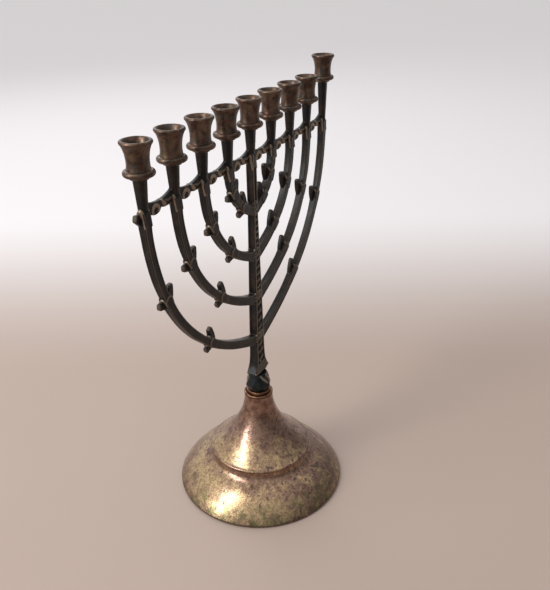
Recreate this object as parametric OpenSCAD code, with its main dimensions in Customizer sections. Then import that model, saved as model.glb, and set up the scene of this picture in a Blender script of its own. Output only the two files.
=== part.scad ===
// Nine-cup tabletop candelabra: a cast tree of curved branches that carries turned candle cups
// and stands on a spun, two-tier base.
// Millimetres, +Z up, +X towards the raised end cup, -Y is the front.
// The origin is the centre of the base on the table.

/* [Cups] */
// Distance between neighbouring candle cups
cup_pitch = 24.2; // [22:0.1:26]
// Height of the rims of the eight equal cups
rim_z = 254.6; // [250:0.2:260]
// How much higher the end cup stands than the others
lead_rise = 9.4; // [6:0.1:12]
// Radius of a cup's flared rim
cup_rim_r = 7.3; // [6.8:0.1:8]
// Radius of a cup's waist
cup_waist_r = 5; // [4.9:0.05:5.4]
// Radius of the bore that holds a candle
candle_bore_r = 4.2; // [3.8:0.05:4.3]
// Height of a cup
cup_h = 16.8; // [15.6:0.1:18]

/* [Tree] */
// Height of the crossbar's centre line
bar_z = 222.2; // [219:0.2:225]
// Height at which the lowest pair of branches leaves the stem
low_fork_z = 106.4; // [104:0.2:109]
// Height between one pair of branches and the next
fork_rise = 28.3; // [27:0.1:29]
// Angle at which a branch leaves the stem, above level
branch_angle = 17; // [12:1:22]
// How long a branch keeps its first direction, as a share of its reach
branch_swing = 0.54; // [0.45:0.01:0.62]
// How long a branch runs upright under the crossbar, as a share of its rise
branch_lift = 0.57; // [0.5:0.01:0.64]
// Depth of a branch, front to back
branch_depth = 4.6; // [4.4:0.1:5.4]
// How far the crossbar lies behind the middle of the branches
bar_set_back = 1.1; // [0:0.1:1.2]
// Depth of the horns on the branches, front to back
horn_depth = 2.6; // [2.4:0.1:3]
// How far the horns lie behind the middle of the branches
horn_set_back = 0.9; // [0:0.1:1]
// Radius of the knop at its belly
knop_r = 8.4; // [8:0.1:9]
// Half width of the stem just above its foot
stem_half_low = 5.2; // [5:0.1:6]
// Half width of the stem from the top fork up
stem_half_high = 2.1; // [1.9:0.1:2.4]
// Depth of the stem at its foot
foot_depth = 7; // [6.6:0.1:7.6]
// Half width of the stem's pointed foot
foot_half = 8.6; // [8:0.1:9]

/* [Base] */
// Radius of the base on the table
base_r = 55; // [52:0.5:60]
// Height of the raised edge between the base's two tiers
tier_z = 25.2; // [23:0.2:27]
// Radius of that raised edge
tier_r = 33.3; // [31:0.1:35]
// Height of the top of the base's neck
neck_z = 66; // [62:0.5:68]
// Radius of the neck at its top
neck_r = 9.2; // [9:0.1:10]
// Thickness of the spun brass
shell_t = 1.4; // [1.2:0.1:1.6]

/* [Fasteners] */
// Radius of the threaded stud that ties the tree to the base
stud_r = 2.5; // [2:0.1:2.5]
// Radius of the shank of a cup screw
cup_screw_r = 1.25; // [1:0.05:1.4]

/* [Hidden] */
$fn = 96;

CUPS = 9;
MIDDLE_CUP = 5;
SIDE_BRANCHES = 4;
stud_clear = 0.25;          // clearance round the stud
screw_clear = 0.15;         // clearance round a cup screw

// Stack on the base's neck: the collar, the knop, the foot of the tree.
collar_top_z = neck_z + 3.6;
knop_belly_z = collar_top_z + 3.2;
knop_waist_z = collar_top_z + 9;
knop_top_z = collar_top_z + 12;
foot_edge_z = knop_top_z + 2.6;
foot_top_z = foot_edge_z + 11.4;
top_fork_z = low_fork_z + (SIDE_BRANCHES - 1) * fork_rise;
post_start_z = bar_z + 2;

brass = "darkgoldenrod";
patina = "darkslategray";
steel = "gray";

function bezier(p, t) =
    pow(1 - t, 3) * p[0] + 3 * pow(1 - t, 2) * t * p[1] + 3 * (1 - t) * t * t * p[2] + pow(t, 3) * p[3];
function bezier_slope(p, t) =
    3 * pow(1 - t, 2) * (p[1] - p[0]) + 6 * (1 - t) * t * (p[2] - p[1]) + 3 * t * t * (p[3] - p[2]);
function bezier_points(p, steps) = [for (i = [0:steps]) bezier(p, i / steps)];
function arc(centre, r, from, to, steps) =
    [for (i = [0:steps]) centre + r * [cos(from + (to - from) * i / steps), sin(from + (to - from) * i / steps)]];
function reversed(points) = [for (i = [len(points) - 1:-1:0]) points[i]];
function without_first(points) = [for (i = [1:len(points) - 1]) points[i]];
function without_last(points) = [for (i = [0:len(points) - 2]) points[i]];
function left_normal(v) = [-v[1], v[0]] / norm(v);
function mirrored_x(points) = [for (q = reversed(points)) [-q[0], q[1]]];

// A path moved sideways to its left by a distance.
function shifted(path, by) = [
    for (i = [0:len(path) - 1])
        path[i] + by * left_normal(path[min(i + 1, len(path) - 1)] - path[max(i - 1, 0)])
];

// An outline drawn in X and height, given a depth front to back.
module upright(depth) {
    rotate([90, 0, 0]) linear_extrude(depth, center = true) children();
}

// An outline drawn in Y and height, given a width side to side.
module sideways(width) {
    rotate([90, 0, 90]) linear_extrude(width, center = true) children();
}

function cup_x(k) = (k - MIDDLE_CUP) * cup_pitch;
function cup_base_z(k) = rim_z - cup_h + (k == CUPS ? lead_rise : 0);

// ---- Base ----

module base_shell() {
    lip_r = 1.1;
    foot_roll = 1.3;
    foot_flat = 0.8;
    neck = bezier_points([[neck_r, neck_z], [neck_r, neck_z - 17],
        [tier_r - 13.3, tier_z + 11.6], [tier_r - lip_r, tier_z + 1.5]], 14);
    lip = arc([tier_r - lip_r, tier_z + 0.4], lip_r, 60, -70, 5);
    cove = bezier_points([[tier_r - 0.5, tier_z - 2.2], [tier_r - 0.3, tier_z - 4.6],
        [tier_r + 1.4, tier_z - 6], [tier_r + 4, tier_z - 7.2]], 5);
    dome = bezier_points([[tier_r + 4.8, tier_z - 7.6], [tier_r + 11, tier_z - 10.8],
        [base_r - 4.4, 9], [base_r - 0.6, 2.6]], 10);
    roll = concat(
        arc([base_r - foot_roll, foot_roll], foot_roll, 40, -90, 6),
        arc([base_r - foot_roll - foot_flat, foot_roll], foot_roll, -90, -215, 6)
    );
    inside = concat(
        [[0, neck_z - shell_t], [neck_r - shell_t - 0.4, neck_z - shell_t]],
        without_first(shifted(neck, -shell_t)),
        [[tier_r - 1.9, tier_z - 5]],
        without_last(shifted(dome, -shell_t))
    );
    color(brass) difference() {
        rotate_extrude() polygon(concat([[0, neck_z]], neck, lip, cove, dome, roll, reversed(inside)));
        translate([0, 0, neck_z / 2]) cylinder(r = stud_r + stud_clear, h = neck_z);
    }
}

module neck_collar() {
    bead_r = 0.8;
    bead_centre = neck_r + 0.1 - bead_r;
    bezel_r = 7.7;
    bezel_edge = 0.8;
    bezel_rise = collar_top_z - neck_z;
    color(brass) difference() {
        rotate_extrude() union() {
            translate([bead_centre, neck_z + bead_r]) circle(bead_r, $fn = 32);
            translate([stud_r, neck_z]) square([bead_centre - stud_r, bead_r]);
            translate([stud_r, neck_z]) square([bezel_r - bezel_edge - stud_r, bezel_rise]);
            translate([bezel_r - bezel_edge, collar_top_z - bezel_edge]) circle(bezel_edge, $fn = 32);
            translate([stud_r, neck_z]) square([bezel_r - stud_r, bezel_rise - bezel_edge]);
        }
        translate([0, 0, neck_z - 1]) cylinder(r = stud_r + stud_clear, h = 8);
    }
}

// A short octagonal band of the knop, between two radii.
module knop_band(low_z, low_r, high_z, high_r) {
    skin = 0.05;
    hull() {
        translate([0, 0, low_z]) cylinder(r = low_r, h = skin, $fn = 8);
        translate([0, 0, high_z - skin]) cylinder(r = high_r, h = skin, $fn = 8);
    }
}

module knop() {
    foot_r = 7.2;
    waist_r = 6.4;
    top_r = 5.8;
    color(patina) difference() {
        union() {
            knop_band(collar_top_z, foot_r, knop_belly_z, knop_r);
            knop_band(knop_belly_z, knop_r, knop_waist_z, waist_r);
            knop_band(knop_waist_z, waist_r, knop_top_z, top_r);
        }
        translate([0, 0, collar_top_z - 1]) cylinder(r = stud_r + stud_clear, h = 20);
    }
}

// ---- Tree ----

// A side branch counts outwards from the stem: 1 is the innermost and 4 the outermost.
function fork_z(side) = top_fork_z - (side - 1) * fork_rise;
function branch_curve(side) = let (
        reach = side * cup_pitch,
        rise = bar_z - fork_z(side)
    ) [
        [0, fork_z(side)],
        [0, fork_z(side)] + branch_swing * reach * [cos(branch_angle), sin(branch_angle)],
        [reach, bar_z - branch_lift * rise],
        [reach, bar_z]
    ];
// Width of a branch, from its root to the crossbar.
function branch_width(t) = lookup(t, [[0, 7.2], [0.39, 4.9], [0.44, 4.3], [1, 4.1]]);
calyx_places = [0.39, 0.74];

module branch_outline(side) {
    steps = 26;
    curve = branch_curve(side);
    function edge(t, way) = bezier(curve, t) + way * branch_width(t) / 2 * left_normal(bezier_slope(curve, t));
    polygon(concat(
        [for (i = [0:steps]) edge(i / steps, 1)],
        [for (i = [steps:-1:0]) edge(i / steps, -1)]
    ));
}

// A calyx: the flared end of a branch segment, with a longer horn on its upper side.
module calyx_outline(side, t) {
    curve = branch_curve(side);
    slope = bezier_slope(curve, t);
    half = branch_width(t) / 2;
    inner_tip = 7.4;
    outer_tip = 5.8;
    flare = 6.5;
    inner = [for (i = [0:5]) [half - 0.5 + (inner_tip - half + 0.5) * pow(i / 5, 3), flare * (i / 5 - 1)]];
    outer = [for (i = [0:5]) [half - 0.5 + (outer_tip - half + 0.5) * pow(i / 5, 3), flare * (i / 5 - 1) - 1.2]];
    translate(bezier(curve, t)) rotate(atan2(slope[1], slope[0]) - 90) polygon(concat(
        outer,
        [[outer_tip - 0.6, 0.6], [half + 0.6, 1.6], [0, 2.6]],
        mirrored_x(concat(inner, [[inner_tip - 1, 1.9], [half + 0.8, 2.4]]))
    ));
}

// The bract on the outside of an end branch, at the crossbar.
module end_bract_outline() {
    reach = SIDE_BRANCHES * cup_pitch;
    polygon([[reach, bar_z - 6], [reach + 2, bar_z - 5], [reach + 3.4, bar_z - 3], [reach + 5.2, bar_z - 0.8],
        [reach + 4.8, bar_z + 1.2], [reach + 2.4, bar_z + 2], [reach, bar_z + 2.4]]);
}

module both_sides() {
    children();
    mirror([1, 0]) children();
}

module branches() {
    upright(branch_depth) both_sides() {
        for (side = [1:SIDE_BRANCHES]) branch_outline(side);
    }
    translate([0, horn_set_back, 0]) upright(horn_depth) both_sides() {
        for (side = [1:SIDE_BRANCHES]) {
            for (t = calyx_places) calyx_outline(side, t);
        }
        end_bract_outline();
    }
}

function stem_half(z) = lookup(z, [[foot_top_z, stem_half_low - 0.3], [top_fork_z, stem_half_high]]);

module stem() {
    front = concat(
        [[6.2, knop_top_z], [foot_half, foot_edge_z]],
        [for (i = [1:6]) [
            stem_half_low - 0.3 + (foot_half - stem_half_low + 0.3) * pow(1 - i / 6, 2.4),
            foot_edge_z + (foot_top_z - foot_edge_z) * i / 6
        ]],
        [[stem_half_high, top_fork_z], [stem_half_high, bar_z + 3]]
    );
    side = concat(
        [[foot_depth / 2 - 0.4, knop_top_z], [foot_depth / 2, foot_edge_z]],
        [[2.9, foot_top_z], [2.4, low_fork_z + 1.6 * fork_rise], [2.4, bar_z + 3]]
    );
    intersection() {
        upright(12) polygon(concat(front, mirrored_x(front)));
        sideways(24) polygon(concat(side, mirrored_x(side)));
    }
}

// The ribbed band across the stem where a pair of branches meets it.
module fork_band(side) {
    half = stem_half(fork_z(side)) + 1.7;
    low = fork_z(side) + 1;
    high = fork_z(side) + 6;
    upright(branch_depth + 1.2 + side * 0.12) polygon([[-half, low], [half, low],
        [half - 1, high], [-half + 1, high]]);
}

// Beads of the braid up the stem, between one fork band and the next.
module beads(low, high, count) {
    pitch = (high - low) / count;
    for (i = [0:count - 1]) {
        z = low + pitch * (i + 0.5);
        r = min(pitch * 0.46, stem_half(z) - 1.1);
        translate([0, 0, z]) rotate([90, 0, 0])
            cylinder(r = r, h = 2 * lookup(z, [[foot_top_z, 3.1], [top_fork_z, 2.6]]), center = true, $fn = 32);
    }
}

module braid() {
    beads(foot_edge_z + 4.6, fork_z(4) + 0.6, 3);
    for (side = [2:SIDE_BRANCHES])
        beads(fork_z(side) + 6.6, fork_z(side - 1) + 0.6, 8 - side);
}

// One span of the crossbar, from a branch to the next one on its right.
module bar_span_outline() {
    lobe_x = 0.36;
    top = arc([cup_pitch / 2, bar_z + 26], 24, 242, 298, 8);
    lobe = concat(
        [[cup_pitch - 1.6, bar_z - 1.6]],
        bezier_points([[cup_pitch * 0.8, bar_z - 1.5], [cup_pitch * 0.66, bar_z - 1.6],
            [cup_pitch * 0.5, bar_z - 3.6], [cup_pitch * lobe_x, bar_z - 3.8]], 5),
        bezier_points([[cup_pitch * lobe_x, bar_z - 3.8], [cup_pitch * 0.28, bar_z - 3.7],
            [cup_pitch * 0.24, bar_z - 2], [cup_pitch * 0.14, bar_z - 1.4]], 4)
    );
    polygon(concat([[0, bar_z - 1], [0, bar_z + 3]], top,
        [[cup_pitch, bar_z + 3.4], [cup_pitch, bar_z - 1.6]], lobe));
}

module crossbar() {
    bar_depth = 2.4;
    leaf_depth = 3;
    round_leaf = [cup_pitch * 0.36, bar_z - 1.4];
    round_leaf_r = 1.9;
    slim_leaf = [cup_pitch * 0.62, bar_z];
    slim_leaf_r = 1.3;
    for (k = [1:CUPS - 1]) translate([cup_x(k), bar_set_back, 0]) {
        upright(bar_depth) bar_span_outline();
        upright(leaf_depth) translate(round_leaf) circle(round_leaf_r, $fn = 32);
        upright(leaf_depth) translate(slim_leaf) circle(slim_leaf_r, $fn = 32);
    }
}

// The tapered post that carries a cup above the crossbar, tapped for the cup's screw.
module post(k) {
    low_r = 2.3;
    top_r = 3.1;
    root = 4.5;
    translate([cup_x(k), 0, post_start_z - root]) cylinder(r = low_r, h = root);
    translate([cup_x(k), 0, post_start_z]) cylinder(r1 = low_r, r2 = top_r, h = cup_base_z(k) - post_start_z);
}

module tree_casting() {
    color(patina) difference() {
        union() {
            branches();
            stem();
            for (side = [1:SIDE_BRANCHES]) fork_band(side);
            braid();
            crossbar();
            for (k = [1:CUPS]) post(k);
        }
        translate([0, 0, knop_top_z - 1]) cylinder(r = stud_r, h = 13);
        for (k = [1:CUPS])
            translate([cup_x(k), 0, cup_base_z(k) - 5.5]) cylinder(r = cup_screw_r, h = 6);
    }
}

// ---- Cups ----

cup_floor = 3.6;
cup_bead_z = 2.6;
cup_waist_z = 8.4;
screw_head_r = 2.7;
screw_head_h = 1.3;

module candle_cup(k) {
    bead_r = 1.45;
    bead_centre = cup_rim_r - 0.1 - bead_r;
    lip_r = 0.8;
    flare = bezier_points([[cup_waist_r + 0.1, cup_bead_z + 1.4], [cup_waist_r - 0.1, cup_waist_z],
        [cup_waist_r + 0.2, cup_h - 4], [cup_rim_r - 0.4, cup_h - 1.3]], 8);
    mouth = bezier_points([[cup_rim_r - 1.1, cup_h], [cup_rim_r - 2.3, cup_h - 1],
        [candle_bore_r, cup_h - 3], [candle_bore_r, cup_h - 4.6]], 6);
    translate([cup_x(k), 0, cup_base_z(k)]) color("peru") difference() {
        rotate_extrude() union() {
            polygon(concat(
                [[0, 0], [4.4, 0], [bead_centre, 1.4], [bead_centre, cup_bead_z + 1.1]],
                flare, mouth, [[candle_bore_r, cup_floor], [0, cup_floor]]
            ));
            translate([bead_centre, cup_bead_z]) circle(bead_r, $fn = 32);
            translate([cup_rim_r - lip_r, cup_h - lip_r]) circle(lip_r, $fn = 32);
        }
        translate([0, 0, -1]) cylinder(r = cup_screw_r + screw_clear, h = cup_floor + 2);
        translate([0, 0, cup_floor - screw_head_h]) cylinder(r = screw_head_r + screw_clear, h = screw_head_h + 1);
    }
}

// ---- Fasteners ----

module tie_stud() {
    low = neck_z - shell_t - 8;
    color(steel) translate([0, 0, low]) cylinder(r = stud_r, h = knop_top_z + 11 - low);
}

module stud_washer() {
    color(steel) translate([0, 0, neck_z - shell_t - 1.2]) difference() {
        cylinder(r = 7.5, h = 1.2);
        translate([0, 0, -1]) cylinder(r = stud_r + stud_clear, h = 4);
    }
}

module spring_washer() {
    gap = 0.8;
    color(steel) translate([0, 0, neck_z - shell_t - 2.5]) difference() {
        cylinder(r = 4.4, h = 1.3);
        translate([0, 0, -1]) cylinder(r = stud_r + stud_clear, h = 4);
        translate([0, -gap / 2, -1]) cube([6, gap, 4]);
    }
}

module stud_nut() {
    across_corners_r = 4.6;
    color(steel) translate([0, 0, neck_z - shell_t - 6.5]) difference() {
        cylinder(r = across_corners_r, h = 4, $fn = 6);
        translate([0, 0, -1]) cylinder(r = stud_r, h = 6);
    }
}

module cup_screws() {
    slot_w = 0.7;
    slot_depth = 0.6;
    grip = 5;
    shank = cup_floor - screw_head_h + grip;
    for (k = [1:CUPS]) translate([cup_x(k), 0, cup_base_z(k) - grip]) color(brass) difference() {
        union() {
            translate([0, 0, shank]) cylinder(r = screw_head_r, h = screw_head_h);
            cylinder(r = cup_screw_r, h = shank + 0.2);
        }
        translate([-slot_w / 2, -4, shank + screw_head_h - slot_depth]) cube([slot_w, 8, 2]);
    }
}

base_shell();
neck_collar();
knop();
tree_casting();
tie_stud();
stud_washer();
spring_washer();
stud_nut();
cup_screws();
candle_cup(1);  // candle_cup_1
candle_cup(2);  // candle_cup_2
candle_cup(3);  // candle_cup_3
candle_cup(4);  // candle_cup_4
candle_cup(5);  // candle_cup_5
candle_cup(6);  // candle_cup_6
candle_cup(7);  // candle_cup_7
candle_cup(8);  // candle_cup_8
candle_cup(9);  // candle_cup_9
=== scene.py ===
import math

import bmesh
import bpy
import numpy as np
from mathutils import Matrix, Vector, kdtree


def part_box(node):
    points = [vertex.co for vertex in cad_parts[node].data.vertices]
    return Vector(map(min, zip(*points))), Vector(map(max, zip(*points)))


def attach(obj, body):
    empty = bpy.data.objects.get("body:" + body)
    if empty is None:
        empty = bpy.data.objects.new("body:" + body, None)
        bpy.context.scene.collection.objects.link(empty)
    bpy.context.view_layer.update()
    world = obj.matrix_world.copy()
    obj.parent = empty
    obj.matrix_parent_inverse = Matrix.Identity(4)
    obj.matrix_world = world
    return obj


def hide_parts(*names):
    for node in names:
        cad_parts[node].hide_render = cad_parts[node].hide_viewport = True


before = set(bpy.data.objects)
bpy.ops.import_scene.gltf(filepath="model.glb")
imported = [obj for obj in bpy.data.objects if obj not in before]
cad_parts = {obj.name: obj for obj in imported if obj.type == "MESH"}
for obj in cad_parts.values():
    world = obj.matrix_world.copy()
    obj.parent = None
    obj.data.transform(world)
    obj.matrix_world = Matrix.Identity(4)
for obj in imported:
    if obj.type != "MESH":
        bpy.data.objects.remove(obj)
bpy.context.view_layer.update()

# Lengths in this script are millimetres, as in the CAD model. METRES turns them into Blender's units.
METRES = 0.001


def box_mm(node):
    low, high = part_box(node)
    return low / METRES, high / METRES


# -------- sizes taken from the frame

CUPS = 9
MIDDLE_CUP = 5
SIDE_BRANCHES = 4

cup_low, cup_high = box_mm(f"candle_cup_{MIDDLE_CUP}")
lead_low, lead_high = box_mm(f"candle_cup_{CUPS}")
knop_low, knop_high = box_mm("knop")
shell_high = box_mm("base_shell")[1]
collar_high = box_mm("neck_collar")[1]
stud_high = box_mm("tie_stud")[1]

cup_r = (cup_high.x - cup_low.x) / 2
cup_base = cup_low.z
cup_h = cup_high.z - cup_low.z
lead_rise = lead_low.z - cup_low.z
pitch = ((lead_low.x + lead_high.x) - (cup_low.x + cup_high.x)) / 2 / SIDE_BRANCHES
base_r = shell_high.x
neck_z = shell_high.z
collar_r = collar_high.x
bezel_z = collar_high.z
knop_top = knop_high.z
stud_r = stud_high.x
stud_clear = 0.25

# -------- sizes of the design, as in the CAD model

bar_z = 222.2
low_fork_z = 106.4
fork_rise = 28.3
branch_angle = math.radians(17)
branch_swing = 0.54
branch_lift = 0.57
branch_depth = 4.6
calyx_places = (0.39, 0.74)
bar_set_back = 1.1
horn_set_back = 0.9
horn_depth = 2.6
stem_half_low = 4.9
stem_half_high = 2.1
foot_half = 8.6
foot_edge_z = knop_top + 2.6
foot_top_z = foot_edge_z + 11.4
top_fork_z = low_fork_z + (SIDE_BRANCHES - 1) * fork_rise
post_start_z = bar_z + 2


def cup_x(k):
    """Where cup k stands, the middle one at 0."""
    return (k - MIDDLE_CUP) * pitch


def cup_floor_z(k):
    return cup_base + (lead_rise if k == CUPS else 0)


def fork_z(side):
    """Height of the fork of a pair of branches, the innermost pair being 1."""
    return top_fork_z - (side - 1) * fork_rise


def swelling(ends, more):
    """The radius along a raised line, thin at its ends and thicker by more in its middle."""
    return lambda s: ends + more * math.sin(math.pi * s)


def interpolate(x, table):
    """Piecewise linear lookup in ((x, value), ...)."""
    return float(np.interp(x, [row[0] for row in table], [row[1] for row in table]))


def ease(x):
    """0 below 0, 1 above 1 and a smooth step between."""
    x = min(max(x, 0.0), 1.0)
    return x * x * (3 - 2 * x)


# -------- mesh building

class Shape:
    """Closed parts gathered into one mesh, and the places on them that are marked pale: lines rubbed pale,
    and horn tips that also carry a painted highlight.
    """

    def __init__(self):
        self.verts = []
        self.faces = []
        self.rims = []

    def add(self, verts, faces):
        start = len(self.verts)
        self.verts.extend(verts)
        self.faces.extend([tuple(start + i for i in face) for face in faces])

    def rings(self, rings):
        """A closed tube through rings of equal length, capped at both ends."""
        n = len(rings[0])
        verts = [p for ring in rings for p in ring]
        faces = []
        for r in range(len(rings) - 1):
            for i in range(n):
                j = (i + 1) % n
                faces.append((r * n + i, r * n + j, (r + 1) * n + j, (r + 1) * n + i))
        faces.append(tuple(range(n - 1, -1, -1)))
        faces.append(tuple((len(rings) - 1) * n + i for i in range(n)))
        self.add(verts, faces)

    def plate(self, outline, half_depth, chamfer, y=0.0):
        """An upright outline in X and height with chamfered front and back edges."""
        inner = inset(outline, chamfer)
        rings = []
        for ring, depth in ((inner, -half_depth), (outline, chamfer - half_depth),
                            (outline, half_depth - chamfer), (inner, half_depth)):
            rings.append([Vector((p[0], y + depth, p[1])) for p in ring])
        self.rings(rings)

    def bead(self, centre, radii, steps, tilt=0.0):
        """A rounded bead, tilted in the upright plane."""
        turn = Matrix.Rotation(-tilt, 3, "Y")
        verts = [Vector(centre) + turn @ Vector((0, 0, -radii[2]))]
        for i in range(1, steps):
            a = math.pi * i / steps - math.pi / 2
            for j in range(steps * 2):
                b = math.pi * j / steps
                ball = Vector((math.cos(a) * math.cos(b), math.cos(a) * math.sin(b), math.sin(a)))
                verts.append(Vector(centre) + turn @ Vector(r * c for r, c in zip(radii, ball)))
        verts.append(Vector(centre) + turn @ Vector((0, 0, radii[2])))
        n = steps * 2
        faces = [(0, 1 + (j + 1) % n, 1 + j) for j in range(n)]
        for i in range(steps - 2):
            for j in range(n):
                k = (j + 1) % n
                faces.append((1 + i * n + j, 1 + i * n + k, 1 + (i + 1) * n + k, 1 + (i + 1) * n + j))
        last = 1 + (steps - 2) * n
        faces += [(last + j, last + (j + 1) % n, last + n) for j in range(n)]
        self.add(verts, faces)

    def rope(self, points, radius, pale=1.0, facing=(0, 1, 0)):
        """A raised line through points, on a surface facing a given way, rubbed pale by 0 to 1."""
        sides = 8
        rings = []
        for i, p in enumerate(points):
            along = (points[min(i + 1, len(points) - 1)] - points[max(i - 1, 0)]).normalized()
            across = along.cross(Vector(facing)).normalized()
            other = along.cross(across)
            r = radius(i / (len(points) - 1)) if callable(radius) else radius
            rings.append([p + r * (math.cos(a) * across + math.sin(a) * other)
                          for a in (2 * math.pi * k / sides for k in range(sides))])
        self.rings(rings)
        if pale > 0:
            self.pale_line(points, radius, pale)

    def pale_line(self, points, radius, pale):
        """Marks a line along the surface as rubbed pale, without raising it."""
        spacing = 0.25
        for i in range(len(points) - 1):
            steps = max(1, math.ceil((points[i + 1] - points[i]).length / spacing))
            for j in range(steps):
                s = (i + j / steps) / (len(points) - 1)
                r = radius(s) if callable(radius) else radius
                self.rims.append((points[i].lerp(points[i + 1], j / steps), r, pale))

    def mesh(self, name):
        return new_object(name, self.verts, self.faces)


def new_object(name, verts, faces):
    """A mesh object from points in millimetres, its faces turned outwards."""
    data = bpy.data.meshes.new(name)
    data.from_pydata([tuple(METRES * c for c in v) for v in verts], [], faces)
    data.update()
    bm = bmesh.new()
    bm.from_mesh(data)
    bmesh.ops.recalc_face_normals(bm, faces=bm.faces)
    bm.to_mesh(data)
    bm.free()
    obj = bpy.data.objects.new(name, data)
    bpy.context.scene.collection.objects.link(obj)
    return obj


def inset(outline, by):
    """The outline moved inwards by a distance, each corner along its bisector."""
    points = [Vector(p) for p in outline]
    area = sum(points[i - 1].cross(points[i]) for i in range(len(points)))
    sign = 1 if area > 0 else -1
    moved = []
    for i, p in enumerate(points):
        before = (p - points[i - 1]).normalized()
        after = (points[(i + 1) % len(points)] - p).normalized()
        normal = Vector((-before.y - after.y, before.x + after.x)) * sign
        if normal.length < 1e-6:
            moved.append(p)
            continue
        normal.normalize()
        spread = max(0.5, abs(normal.dot(Vector((-before.y, before.x)) * sign)))
        moved.append(p + normal * by / spread)
    return moved


def bezier(p, t):
    """A point on the curve with four control points, t from 0 to 1."""
    s = 1 - t
    return p[0] * s ** 3 + p[1] * 3 * s * s * t + p[2] * 3 * s * t * t + p[3] * t ** 3


def bezier_slope(p, t):
    s = 1 - t
    return ((p[1] - p[0]) * 3 * s * s + (p[2] - p[1]) * 6 * s * t + (p[3] - p[2]) * 3 * t * t).normalized()


def bezier_points(points, steps):
    p = [Vector(q) for q in points]
    return [bezier(p, i / steps) for i in range(steps + 1)]


def arc(centre, r, start, end, steps):
    """Points on an arc from one angle to another, in degrees."""
    return [Vector((centre[0] + r * math.cos(math.radians(start + (end - start) * i / steps)),
                    centre[1] + r * math.sin(math.radians(start + (end - start) * i / steps))))
            for i in range(steps + 1)]


def bar_section(half_w, half_d, corner, dish):
    """A squarish section with rounded corners and slightly dished faces: (across, depth) pairs."""
    corner_steps = 3
    points = []
    for quarter, (sx, sy) in enumerate(((1, 1), (-1, 1), (-1, -1), (1, -1))):
        centre = (sx * (half_w - corner), sy * (half_d - corner))
        points += [(q.x, q.y) for q in arc(centre, corner, 90 * quarter, 90 * quarter + 90, corner_steps)]
        face = ((0, sy * (half_d - dish)) if quarter % 2 == 0 else (sx * (half_w - dish), 0))
        points.append(face)
    return points


def lathe(name, profile, sides, centre=(0.0, 0.0)):
    """A turned solid: profile is a loop of (radius, height) points, turned about an upright axis."""
    crisp_angle = math.radians(40)
    verts = []
    for r, z in profile:
        for i in range(sides):
            a = 2 * math.pi * i / sides
            verts.append((centre[0] + r * math.cos(a), centre[1] + r * math.sin(a), z))
    faces = []
    for k in range(len(profile)):
        row, next_row = k * sides, (k + 1) % len(profile) * sides
        for i in range(sides):
            j = (i + 1) % sides
            faces.append((row + i, row + j, next_row + j, next_row + i))
    obj = new_object(name, verts, faces)
    obj.data.shade_smooth()
    obj.data.set_sharp_from_angle(angle=crisp_angle)
    return obj


# -------- the tree

def branch_curve(side, mirror):
    """The four control points of a branch's middle line, in X and height."""
    reach = side * pitch
    rise = bar_z - fork_z(side)
    root = Vector((0, fork_z(side)))
    points = [root,
              root + branch_swing * reach * Vector((math.cos(branch_angle), math.sin(branch_angle))),
              Vector((reach, bar_z - branch_lift * rise)),
              Vector((reach, bar_z))]
    return [Vector((mirror * p.x, p.y)) for p in points]


# Width of a branch at places along it, 0 at the fork and 1 at the crossbar.
BRANCH_WIDTH = ((0, 6.6), (0.12, 5.5), (0.39, 4.9), (0.44, 4.6), (1, 4.4))


def in_plane(p, y):
    """A point of the tree's upright plane, moved to a depth."""
    return Vector((p.x, y, p.y))


def add_segment(shape, curve, start, end, mirror):
    """One length of a branch, slimmer where it leaves the calyx below and fuller at its own end."""
    steps = max(12, int(60 * (end - start)))
    corner, dish = 0.7, 0.12
    edge_pale = 0.36
    rings = []
    edges = {(side, face): [] for side in (-1, 1) for face in (-1, 1)}
    for i in range(steps + 1):
        s = i / steps
        t = start + (end - start) * s
        centre = bezier(curve, t)
        slope = bezier_slope(curve, t)
        normal = Vector((-slope.y, slope.x)) * mirror
        swell = 1 + 0.10 * ease((s - 0.72) / 0.28)
        if start > 0:
            swell -= 0.07 * (1 - ease(s / 0.3))
        half_w = interpolate(t, BRANCH_WIDTH) / 2 * swell
        half_d = branch_depth / 2 * (0.98 + (swell - 1))
        section = bar_section(half_w, half_d, corner, dish)
        rings.append([in_plane(centre + normal * u, v) for u, v in section])
        for (side, face), edge in edges.items():
            edge.append(in_plane(centre + normal * side * (half_w - 0.25), face * (half_d - 0.2)))
    shape.rings(rings)
    for edge in edges.values():
        shape.pale_line(edge, 0.05, edge_pale)


def local_point(curve, t, mirror, across, along):
    """A point beside a place on a branch: across it towards the middle, and along it upwards."""
    slope = bezier_slope(curve, t)
    return bezier(curve, t) + Vector((-slope.y, slope.x)) * mirror * across + slope * along


# Rows of (across, along, half width) from the root of a horn to its tip.
INNER_HORN = ((0.8, -6.8, 2.0), (2.4, -4.8, 2.3), (3.8, -2.9, 2.45), (5.0, -1.3, 2.2),
              (6.0, 0.2, 2.0), (6.6, 1.2, 1.75), (6.9, 2.0, 1.2))
OUTER_HORN = ((-0.4, -6.0, 1.8), (-1.8, -4.6, 2.1), (-3.1, -3.5, 2.1), (-4.4, -2.8, 1.9),
              (-5.3, -2.4, 1.7), (-5.8, -2.2, 1.25))
END_HORN = ((0.5, -4.8, 2.0), (2.4, -3.0, 2.1), (4.0, -1.8, 1.95), (5.0, -1.3, 1.75), (5.6, -1.1, 1.3))

# Outlines of (across, along) of the swollen sheath that closes a length of branch.
CUFF = ((-2.2, -7.0), (-2.65, -3.4), (-2.5, -1.6), (-1.4, -0.3), (0.0, 0.1), (1.4, -0.3), (2.6, -1.3),
        (3.1, -2.8), (2.3, -7.0))
TOP_CUFF = ((-1.9, -5.5), (-2.3, -3.0), (-2.4, -1.0), (-1.6, 0.7), (0.0, 1.4), (1.6, 0.7), (2.4, -1.0),
            (2.3, -3.0), (1.9, -5.5))
CUFF_HALF_DEPTH = 2.4


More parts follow.
